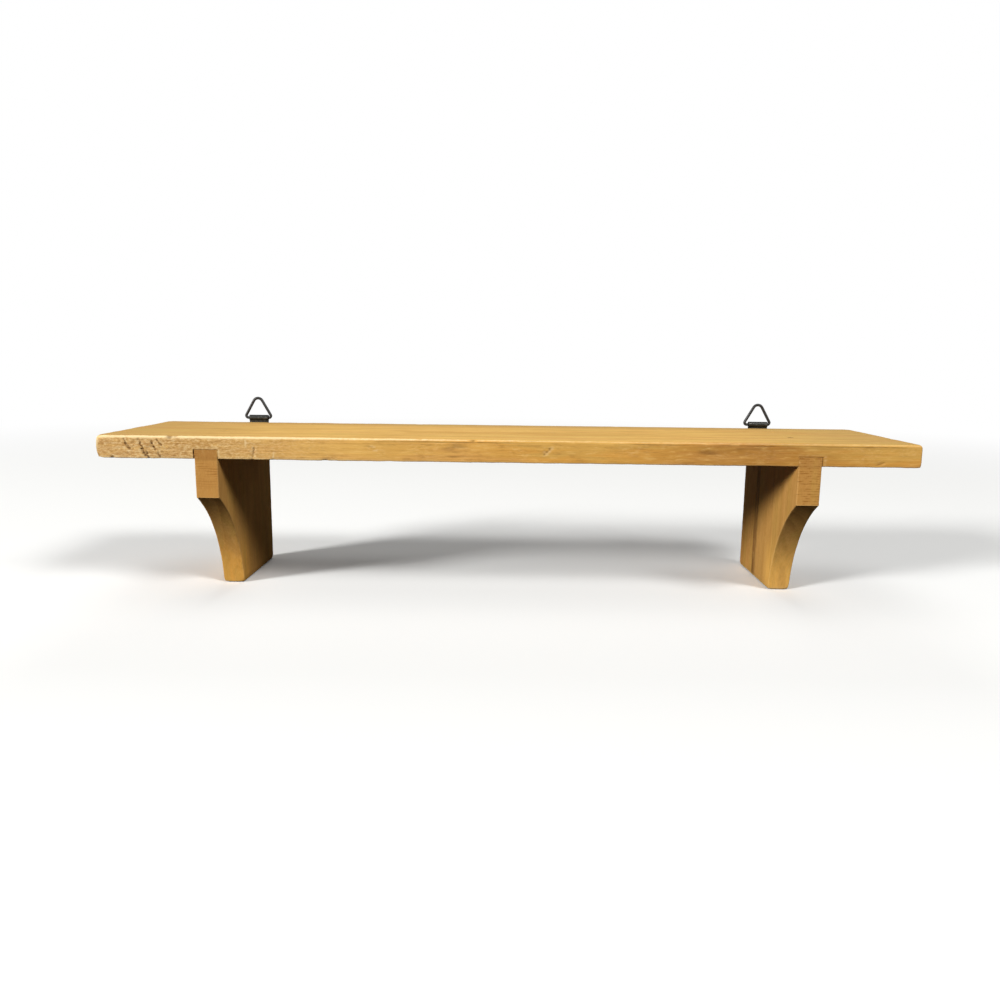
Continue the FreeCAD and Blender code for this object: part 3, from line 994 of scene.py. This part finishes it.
def board_marks(points, low, high):
    """Depth of the cuts and knocks at each point of the board, and the darkening laid over it: dirt in the
    cuts and knocks deepened as painted shade, stains, and painted shade along the rims of the top and under
    the front edge.
    """
    along, inward, up, front, ragged = on_board(points, low)
    top = np.clip(1 - (high[2] - points[:, 2]), 0, 1)
    cuts = strongest(mark[5] * near_stroke(along, up, mark, 0.95 + ragged * 0.5) for mark in CUTS)
    cuts *= np.clip(0.9 + ragged * 1.1, 0.35, 1) * front
    dents = [(place, behind, reach, reach, depth) for place, behind, reach, depth in TOP_DENTS]
    knocks = np.maximum(struck(points - low, KNOCKS), patched(along, inward, dents, 1) * top)
    stains_and_edge_shadow = patched(along, up, STAINS_AND_EDGE_SHADOW, 2) * front
    stains_and_edge_shadow *= np.clip(rough(points, stains_and_edge_shadow > 0.01, 0.11, 0.8, 4.0) * 1.2 + 0.9, 0.4, 1.15)
    torn = patched(along, up, TORN_PATCHES, 1) * front
    torn *= np.clip(rough(points, torn > 0.01, 0.55, 1.1, 3.0) * 2.2 - 0.2, 0, 1)
    # Painted shade along the rounded back and end edges of the top.
    rim = np.minimum(high[1] - points[:, 1], np.minimum(along, high[0] - points[:, 0]))
    rim = fade(rim, 1.8) * top * 0.4
    # Painted shadow: a thin dark line just under the rounded top front edge, broken up, from about 95 mm
    # along.
    shaded = np.clip(rough(points, front > 0, 0.03, 0.1, 8.0) * 1.6 + 0.7, 0.2, 1)
    shaded *= np.clip((along - 95) / 60, 0, 1) * fade(up - 10.0, 0.28) * front * 0.62
    # Dirt in the cuts, knocks and torn patches, deepened as painted shade in those hollows.
    dirt_and_shade = np.clip(cuts * 2.3 + knocks * 1.5 + torn * 2.2, 0, 0.85)
    depth = strongest([cuts, knocks, struck(points - low, WORN_CORNERS), torn])
    return depth, strongest([dirt_and_shade, stains_and_edge_shadow, rim, shaded])


def board_scratches(points, low, mouths):
    """Where the front edge is scratched down to pale wood, where fibres stand up beside the cuts, and the
    bruised wood over the housings."""
    along, _, up, front, ragged = on_board(points, low)
    torn = np.clip(rough(points, front > 0, 0.8, 1.0, 7.0) * 3.5, 0, 1)
    scratches = strongest(near_stroke(along, up, mark, 1 + ragged * 0.8) for mark in SCRATCHES)
    beside = strongest(near_stroke(along, up, (*mark[:4], mark[4] * 3.0), 1.0)
                       * (near_stroke(along, up, mark, 0.95 + ragged * 0.5) < 0.1) for mark in CUTS)
    bruises = strongest(fade(points[:, 2] - top - 0.85, 0.4) * fade(past(points[:, 0], x0, x1), 0.8)
                        for x0, x1, top in mouths)
    bruises *= np.clip(0.5 + ragged, 0.1, 1) * 0.7
    faint = front * np.clip(1 - along / 500, 0.35, 0.85)
    return strongest([scratches, beside * torn, bruises]) * faint


def joint_lines(points, mouths):
    """Dirt along the edges of the housings, stronger above the joint than beside it."""
    x, _, z = points.T

    def line(x0, x1, top):
        beside = np.minimum(np.abs(x - x0), np.abs(x - x1))
        beside = np.hypot(beside, np.clip(z - top, 0, None))
        above = np.hypot(z - top, past(x, x0, x1))
        strength = np.where(above < beside, 0.6, 0.3 if x0 < 0 else 0.12)
        return fade(np.minimum(beside, above), 0.35) * strength

    return strongest(line(*mouth) for mouth in mouths)


def dress_timber(piece, grain_axis, **values):
    """Stores what the timber finish reads: worn edges, bare scratches, dirt and painted shade, and end
    grain.
    """
    facing = np.abs(mesh_normals(piece.data)[:, grain_axis])
    values["end_grain"] = np.clip((facing - 0.55) / 0.4, 0, 1)
    for name, kept in values.items():
        keep_values(piece.data, name, kept)


def nail_names(sides=SIDES):
    return ["%s_%s_nail" % (side, place) for side in sides for place in ("front", "rear")]


def iron_stain(points, top):
    """Dark rings that the nails have left in the wood around their heads, faint where putty covers them."""
    def ring(name):
        off = np.hypot(*(points - node_box(name)[2])[:, :2].T)
        strength = 0.8 if name == OPEN_NAIL else 0.18
        return strength * np.exp(-np.clip(off - 1.1, 0, None) / 0.5)

    return strongest(map(ring, nail_names())) * np.clip(1 - (top - points[:, 2]) / 3.0, 0, 1)


def nail_cuts(side, low_z):
    """Holes for one end's nails, head and shank."""
    sized = sizes()
    cuts = []
    for name in nail_names([side]):
        low, high, (x, y, _) = node_box(name)
        foot = high[2] - sized.nail_head
        head, shank = (high[0] - low[0]) / 2 + TIMBER_PLAY, sized.nail_shank / 2 + TIMBER_PLAY
        cuts.append(("hole", (x, y, foot - TIMBER_PLAY), (x, y, high[2] + 3.0), head))
        cuts.append(("hole", (x, y, max(low[2], low_z)), (x, y, foot), shank))
    return cuts


def screw_hole(side, start, end, clearance):
    """A hole for one end's screw, from front to back."""
    x, _, z = node_box(side + "_hanger_screw")[2]
    return "hole", (x, start, z), (x, end, z), sizes().screw_shank / 2 + clearance


def make_board(sized, material):
    """The worn pine board, with its housings and nail holes."""
    low, high, middle = node_box("shelf_board")
    half = (high - low) / 2
    end, deep = half[:2]

    def place(a, b, height, inset):
        wide, back = end - inset, deep - inset
        corner = max(sized.corner_round - inset, 0.15)
        x, y = rounded_plan(a * wide / end, b * back / deep, wide, back, corner)
        return np.stack([middle[0] + x, middle[1] + y, low[2] + height + 0 * x], axis=-1)

    def edges(spots):
        # The edge band widens towards the left end, where the pale top front edge is partly a painted
        # highlight.
        rubbed = np.clip((middle[0] - 20 - spots[:, 0]) / 110, 0, 1)
        return near_edges(np.minimum(spots - low, high - spots), 1.3 + rubbed)

    # Finer steps at the left end, where the cuts are, and along the edges
    first = run(-end, -end + 40, 0.3, -end + 95, 0.55, end - 2.4, 1.25, end, 0.3)
    second = run(-deep, -deep + 2.4, 0.3, deep - 2.4, 2.6, deep, 0.3)
    layers = rounded_layers(2 * half[2], sized.under_round, sized.edge_round, 6, 24)
    points, faces = slab(first, second, layers, place)
    board = shell("board_timber", points, faces)
    keep_values(board.data, "edge", edges(points))
    grown(board, worn_timber(), {"Edge Wear": sized.edge_wear, "Face Wave": sized.face_wave}, Seed=1.7)
    press_in(board.data, board_marks(mesh_points(board.data), low, high)[0])
    top = low[2] + sized.housing_depth
    cuts, mouths = [], []
    for side in SIDES:
        near, far, _ = node_box(side + "_bracket")
        x0 = near[0] - (sized.left_gap if side == "left" else 0)
        x1 = far[0] + (sized.right_gap if side == "right" else 0)
        cuts.append(("box", (x0, low[1] - OVERRUN, low[2] - OVERRUN), (x1, high[1] + OVERRUN, top)))
        cuts += nail_cuts(side, top - OVERRUN)
        mouths.append((x0, x1, top))
    carve(board, cuts)
    spots = mesh_points(board.data)
    dirt_and_shade = board_marks(spots, low, high)[1]
    dirt_and_shade = strongest([dirt_and_shade, iron_stain(spots, high[2]), joint_lines(spots, mouths)])
    dress_timber(board, 0, edge=edges(spots), scratched=board_scratches(spots, low, mouths), grime=dirt_and_shade)
    hand_over(board, material, "shelf", "board_pine", "shelf_board")


def make_bracket(side, sized, material):
    """One cove-cut bracket, with the holes for its nails and screw."""
    low, high, _ = node_box(side + "_bracket")
    underside = node_box("shelf_board")[0][2]
    tall, hollow, foot_round = high[2] - low[2], sized.cove_depth, sized.foot_round
    nose_foot = np.array([low[1], underside - sized.nose_height])
    chord = np.array([low[1] + sized.foot_setback, low[2]]) - nose_foot
    chord_length = np.hypot(*chord)
    inward = np.array([-chord[1], chord[0]]) / chord_length
    cove_radius = (chord_length ** 2 / 4 + hollow ** 2) / (2 * hollow)
    centre = nose_foot + chord / 2 - inward * (cove_radius - hollow)

    def front(z, inset):
        reach = np.sqrt(np.clip((cove_radius + inset) ** 2 - (z - centre[1]) ** 2, 0, None))
        return np.maximum(low[1] + inset, centre[0] + reach)

    def place(a, b, height, inset):
        z = low[2] + inset + a * (tall - inset) / tall
        drop = np.clip(foot_round - (z - low[2] - inset), 0, None)
        eased = foot_round - np.sqrt(foot_round ** 2 - drop ** 2)
        inset = inset * (1 - 0.85 * np.clip((z - underside) / 0.8, 0, 1))
        start, end = front(z, inset) + eased, high[1] - inset - eased
        return np.stack([low[0] + height + 0 * z, start + b * (end - start), z], axis=-1)

    def edges(spots):
        x, y, z = spots.T
        gaps = [x - low[0], high[0] - x, (y - front(z, 0.0)) * 0.8, high[1] - y, z - low[2]]
        corner = np.hypot(y - nose_foot[0], z - nose_foot[1])
        worn = np.maximum(near_edges(np.stack(gaps, axis=-1), 0.9), fade(corner, 0.8))
        return worn * np.where(z > underside, 0.5, 1.0)

    nose = nose_foot[1] - low[2]
    first = run(0, foot_round, foot_round / 5, nose - 2, 0.8, nose + 2, 0.25, tall - 1, 0.8, tall, 0.33)
    second = 0.5 - 0.5 * np.cos(np.linspace(0, math.pi, 61))
    layers = rounded_layers(high[0] - low[0], sized.bracket_round, sized.bracket_round, 4, 14)
    points, faces = slab(first, second, layers, place)
    bracket = shell(side + "_bracket_timber", points, faces)
    keep_values(bracket.data, "edge", edges(points))
    wear = {"Edge Wear": sized.edge_wear * 0.4, "Face Wave": sized.face_wave * 0.7}
    grown(bracket, worn_timber(), wear, Seed=BRACKET_SEED[side])
    x, _, z = mesh_points(bracket.data).T
    off = np.hypot(np.minimum(x - low[0], high[0] - x), z - low[2])
    press_in(bracket.data, 0.5 * fade(off, 1.6))
    start = node_box(side + "_hanger_screw")[0][1]
    carve(bracket, [*nail_cuts(side, low[2]), screw_hole(side, start, high[1] + OVERRUN, TIMBER_PLAY)])
    spots = mesh_points(bracket.data)
    dress_timber(bracket, 2, edge=edges(spots), grime=bracket_darkening(spots, low, underside),
                 scratched=bracket_specks(spots, low, high, underside, FOOT_WEAR[side]))
    hand_over(bracket, material, "shelf", "bracket_pine", side + "_bracket")


def bracket_specks(spots, low, high, underside, foot):
    """Specks of bare wood on the front of the joint, and a bare rim under the foot."""
    x, y, z = spots.T
    near = (y < low[1] + 0.6) & (z > underside - 1)
    aside = np.minimum(np.minimum(x - low[0], high[0] - x), high[2] - z)
    specks = np.clip(rough(spots, near, 1.2, 1.2, 2.0) * 4 - 1, 0, 1) * fade(aside, 1.2) * 0.5
    return np.maximum(specks, foot * fade(z - low[2] - 0.8, 0.6))


def bracket_darkening(spots, low, underside):
    """Darkening in a thin band at the board's underside and along the bottom of the foot."""
    under = np.exp(-np.abs(spots[:, 2] - underside) / 0.7) * 0.35
    foot = np.exp(-(spots[:, 2] - low[2]) / 0.8) * 0.15
    return np.maximum(under, foot)


def make_strap(side, sized, material):
    """One hanger strap: a flat strip folded round the ring's bar into two leaves."""
    low, high, middle = node_box(side + "_hanger_strap")
    thick = sized.strap
    bore = sized.wire / 2 + sized.bar_clearance
    curl_mid, bend_mid = bore + thick / 2, sized.strap_bend + thick / 2
    bend_across = (sized.strap_gap + thick) / 2 + bend_mid
    bend_drop = math.sqrt((curl_mid + bend_mid) ** 2 - bend_across ** 2)
    swing = math.atan2(bend_drop, bend_across)
    curl_run, bend_run = (math.pi / 2 + swing) * curl_mid, swing * bend_mid
    bent = curl_run + bend_run
    shoulder = bore + thick
    pivot = np.array([middle[0], middle[1], high[2] - shoulder])
    fall = pivot[2] - low[2]
    half_run, half_width, tail = fall - bend_drop + bent, (high[0] - low[0]) / 2, sized.strap_tail / 2

    def folded(s):
        """Places and sideways directions along the fold, from one tail to the other."""
        out = np.abs(s)
        turn = out / curl_mid
        on_curl = turn < math.pi / 2 + swing
        angle = swing - np.clip(out - curl_run, 0, bend_run) / bend_mid
        side_y = np.where(on_curl, np.sin(turn), np.cos(angle))
        side_z = np.where(on_curl, np.cos(turn), -np.sin(angle))
        y = np.where(on_curl, curl_mid * side_y, bend_across - bend_mid * side_y)
        z = np.where(on_curl, curl_mid * side_z, -bend_drop - bend_mid * side_z)
        return np.sign(s) * y, z - np.clip(out - bent, 0, None), np.sign(s) * side_y, side_z

    def place(a, b, height, inset):
        reach, width = half_run - inset, tail - inset
        s, across = rounded_plan(a * reach / half_run, b * width / tail, reach, width, width)
        y, z, side_y, side_z = folded(s)
        share = np.clip((-z - shoulder) / (fall - tail - shoulder), 0, 1)
        across = across * (half_width + (tail - half_width) * share) / tail
        lift = height - thick / 2
        return pivot + np.stack([across, y + side_y * lift, z + side_z * lift], axis=-1)

    half = run(0, bent, 0.11, half_run - tail, 0.9, half_run - 0.6, 0.35, half_run, 0.12)
    first = np.concatenate([-half[:0:-1], half])
    second = tail * np.sin(np.linspace(-math.pi / 2, math.pi / 2, 27))
    points, faces = slab(first, second, rounded_layers(thick, 0.16, 0.16, 3, 3), place)
    strap = shell(side + "_strap", points, faces)
    carve(strap, [screw_hole(side, low[1] - OVERRUN, high[1] + OVERRUN, STRAP_PLAY)])
    hand_over(strap, material, "shelf", "black_steel", side + "_hanger_strap")


def make_ring(side, sized, tree, material):
    """One wire ring: a triangle with rounded corners, its ends butted in the middle of the bar."""
    low, high, middle = node_box(side + "_hanger_ring")
    wire, apex, corner = sized.wire, sized.ring_apex, sized.ring_corner
    reach = high[2] - low[2] - wire
    run_x, run_z = (high[0] - low[0] - wire) / 2 - corner, corner - (reach - apex)
    slope = math.hypot(run_x, run_z)
    lean = (apex - corner) / slope
    square = math.sqrt(1 - lean ** 2)
    out_x = (run_x * lean - run_z * square) / slope
    out_z = (run_z * lean + run_x * square) / slope
    offset = out_z * (reach - apex) + apex
    gap, wide = sized.ring_gap / 2, offset / out_x
    route = ((gap, 0), (wide, 0), (0, offset / out_z), (-wide, 0), (-gap, 0))
    curve = bpy.data.curves.new(side + "_ring", "CURVE")
    curve.dimensions = "3D"
    spline = curve.splines.new("POLY")
    spline.points.add(len(route) - 1)
    for point, (x, z) in zip(spline.points, route):
        point.co = (*(Vector((middle[0] + x, middle[1], low[2] + wire / 2 + z)) * MM), 1.0)
    lengths = {"Wire Radius": wire / 2, "Apex Radius": apex, "Corner Radius": corner}
    ring = grown(shown(side + "_ring", curve), tree, lengths, Material=material)
    hand_over(ring, material, side + "_ring", "black_steel", side + "_hanger_ring")


class TRINKET_SHELF_OT_board(bpy.types.Operator):
    """Make the worn pine board, with its housings and nail holes"""

    bl_idname = "trinket_shelf.board"
    bl_label = "Board"

    def execute(self, context):
        make_board(sizes(), board_pine(colours()))
        return {"FINISHED"}


class TRINKET_SHELF_OT_brackets(bpy.types.Operator):
    """Make the two cove-cut brackets"""

    bl_idname = "trinket_shelf.brackets"
    bl_label = "Brackets"

    def execute(self, context):
        material = bracket_pine(colours())
        for side in SIDES:
            make_bracket(side, sizes(), material)
        return {"FINISHED"}


class TRINKET_SHELF_OT_nails(bpy.types.Operator):
    """Make the finishing nails that hold the brackets, and the putty over all but one of them"""

    bl_idname = "trinket_shelf.nails"
    bl_label = "Nails"

    def execute(self, context):
        sized, hues, names = sizes(), colours(), nail_names()
        places = {}
        for name in names:
            low, high, middle = node_box(name)
            places[name] = (middle[0], middle[1], high[2])
        head = (high[0] - low[0]) / 2
        material = dull_steel("nail_steel", hues, 0.55)
        lengths = {"Head Radius": head, "Head Height": sized.nail_head, "Shank Radius": sized.nail_shank / 2,
                   "Length": high[2] - low[2]}
        nails = grown(strewn("nails", list(places.values())), set_nail(), lengths, Material=material)
        hand_over(nails, material, "shelf", "nail_steel", *names)
        del places[OPEN_NAIL]
        material = old_putty(hues)
        lengths = {"Radius": head, "Depth": node_box("shelf_board")[1][2] - high[2] - PUTTY_SINK}
        putty = grown(strewn("nail_putty", list(places.values())), putty_plug(), lengths, Material=material)
        hand_over(putty, material, "shelf", "board_pine")
        return {"FINISHED"}


class TRINKET_SHELF_OT_straps(bpy.types.Operator):
    """Make the folded hanger straps"""

    bl_idname = "trinket_shelf.straps"
    bl_label = "Hanger straps"

    def execute(self, context):
        material = rubbed_black(colours())
        for side in SIDES:
            make_strap(side, sizes(), material)
        return {"FINISHED"}


class TRINKET_SHELF_OT_rings(bpy.types.Operator):
    """Make the swinging wire rings, in the straps' finish"""

    bl_idname = "trinket_shelf.rings"
    bl_label = "Hanging rings"

    def execute(self, context):
        tree = bent_wire()
        for side in SIDES:
            make_ring(side, sizes(), tree, bpy.data.materials["black_steel"])
        return {"FINISHED"}


class TRINKET_SHELF_OT_screws(bpy.types.Operator):
    """Make the slotted screws that hold the hangers"""

    bl_idname = "trinket_shelf.screws"
    bl_label = "Screws"

    def execute(self, context):
        sized = sizes()
        names = [side + "_hanger_screw" for side in SIDES]
        places = []
        for name in names:
            low, high, middle = node_box(name)
            places.append((middle[0], high[1] - sized.screw_head, middle[2]))
        screws = strewn("screws", places)
        keep_values(screws.data, "turn", [math.radians(SLOT_TURN[side]) for side in SIDES])
        material = dull_steel("screw_steel", colours(), 0.2)
        lengths = {"Head Radius": (high[0] - low[0]) / 2, "Head Height": sized.screw_head,
                   "Shank Radius": sized.screw_shank / 2, "Length": high[1] - sized.screw_head - low[1],
                   "Slot": sized.slot}
        grown(screws, driven_screw(), lengths, Material=material)
        hand_over(screws, material, "shelf", "screw_steel", *names)
        return {"FINISHED"}


class TRINKET_SHELF_OT_stage(bpy.types.Operator):
    """Set the pale floor, the studio light and the camera"""

    bl_idname = "trinket_shelf.stage"
    bl_label = "Stage"

    def execute(self, context):
        scene = context.scene
        self.floor()
        self.world(scene)
        for lamp in LAMPS:
            self.lamp(*lamp)
        self.camera(scene)
        scene.view_settings.view_transform = "Standard"
        return {"FINISHED"}

    def floor(self):
        """A wide pale floor that fades to white far off, and throws back little light."""
        reach = 6.0
        mesh = bpy.data.meshes.new("floor")
        corners = [(-reach, -reach, 0), (reach, -reach, 0), (reach, reach, 0), (-reach, reach, 0)]
        mesh.from_pydata(corners, [], [(0, 1, 2, 3)])
        floor = shown("floor", mesh)
        floor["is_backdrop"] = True
        finish = Finish("pale_floor")
        x, y, _ = finish.split(finish.place())
        far = finish.rise(span(x, y), 450.0, 1300.0)
        pale = finish.made("ShaderNodeBsdfDiffuse", {"Color": (*colours().floor, 1.0)})
        white = finish.made("ShaderNodeEmission", {"Color": WHITE, "Strength": 1.0})
        dim = finish.made("ShaderNodeBsdfDiffuse", {"Color": (0.05, 0.05, 0.05, 1.0)})
        seen = finish.made("ShaderNodeMixShader", {0: far, 1: pale, 2: white})
        path = finish.add("ShaderNodeLightPath")
        bounced = finish.read(path, "Is Diffuse Ray").most(finish.read(path, "Is Glossy Ray"))
        both = finish.made("ShaderNodeMixShader", {0: bounced, 1: seen, 2: dim})
        finish.add("ShaderNodeOutputMaterial", None, {"Surface": both})
        mesh.materials.append(finish.material)

    def world(self, scene):
        """White where it is seen, dimmer where it is mirrored, and a faint even fill elsewhere."""
        world = bpy.data.worlds.new("studio")
        world.use_nodes = True
        nodes = Nodes(world.node_tree)
        nodes.tree.nodes.clear()
        path = nodes.add("ShaderNodeLightPath")
        seen = nodes.read(path, "Is Camera Ray").most(nodes.read(path, "Is Transmission Ray"))
        strength = seen.most(nodes.read(path, "Is Glossy Ray") * 0.35).most(0.02)
        sky = nodes.made("ShaderNodeBackground", {"Color": WHITE, "Strength": strength})
        nodes.add("ShaderNodeOutputWorld", None, {"Surface": sky})
        scene.world = world

    def lamp(self, name, toward, distance, size, level, mirrored):
        """A soft square lamp that gives a level of light at the shelf, where 1 shows colours as written."""
        light = bpy.data.lights.new(name, "AREA")
        light.shape = "SQUARE"
        light.size = size
        light.energy = level * math.pi ** 2 * distance ** 2
        lamp = shown(name, light)
        way = Vector(toward).normalized()
        lamp.location = Vector(LAMP_AIM) + way * distance
        lamp.rotation_mode = "QUATERNION"
        lamp.rotation_quaternion = way.to_track_quat("Z", "Y")
        lamp.visible_glossy = mirrored

    def camera(self, scene):
        """A camera a little above the board, close in front."""
        data = bpy.data.cameras.new("camera")
        data.sensor_width = CAMERA_SENSOR
        data.lens = CAMERA_LENS
        data.clip_start, data.clip_end = 0.01, 50.0
        camera = shown("camera", data)
        pitch, yaw, roll = map(math.radians, CAMERA_TURN)
        turned = Matrix.Rotation(-yaw, 4, "Z") @ Matrix.Rotation(math.pi / 2 - pitch, 4, "X")
        turned = turned @ Matrix.Rotation(-roll, 4, "Z")
        camera.matrix_world = Matrix.Translation(Vector(CAMERA_PLACE) * MM) @ turned
        scene.camera = camera


OPERATORS = (
    TRINKET_SHELF_OT_board,
    TRINKET_SHELF_OT_brackets,
    TRINKET_SHELF_OT_nails,
    TRINKET_SHELF_OT_straps,
    TRINKET_SHELF_OT_rings,
    TRINKET_SHELF_OT_screws,
    TRINKET_SHELF_OT_stage,
)


class TRINKET_SHELF_PT_pieces(bpy.types.Panel):
    """Lists the shelf's pieces, sizes and colours"""

    bl_idname = "TRINKET_SHELF_PT_pieces"
    bl_label = "Trinket Shelf"
    bl_space_type = "VIEW_3D"
    bl_region_type = "UI"
    bl_category = "Trinket Shelf"

    def draw(self, context):
        column = self.layout.column(align=True)
        for operator in OPERATORS:
            column.operator(operator.bl_idname)
        for group in (context.scene.trinket_shelf_sizes, context.scene.trinket_shelf_colours):
            box = self.layout.box()
            for name in group.__annotations__:
                box.prop(group, name)


CLASSES = (TrinketShelfSizes, TrinketShelfColours, *OPERATORS, TRINKET_SHELF_PT_pieces)


def register():
    for item in CLASSES:
        bpy.utils.register_class(item)
    bpy.types.Scene.trinket_shelf_sizes = PointerProperty(type=TrinketShelfSizes)
    bpy.types.Scene.trinket_shelf_colours = PointerProperty(type=TrinketShelfColours)


def unregister():
    del bpy.types.Scene.trinket_shelf_colours
    del bpy.types.Scene.trinket_shelf_sizes
    for item in reversed(CLASSES):
        bpy.utils.unregister_class(item)


def main():
    register()
    for operator in OPERATORS:
        getattr(bpy.ops.trinket_shelf, operator.bl_idname.split(".")[1])()
    boxes = {"cad": cad_box, "visual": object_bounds()}
    {name: [list(low), list(high)] for name, (low, high) in boxes.items()}


if __name__ == "__main__":
    main()
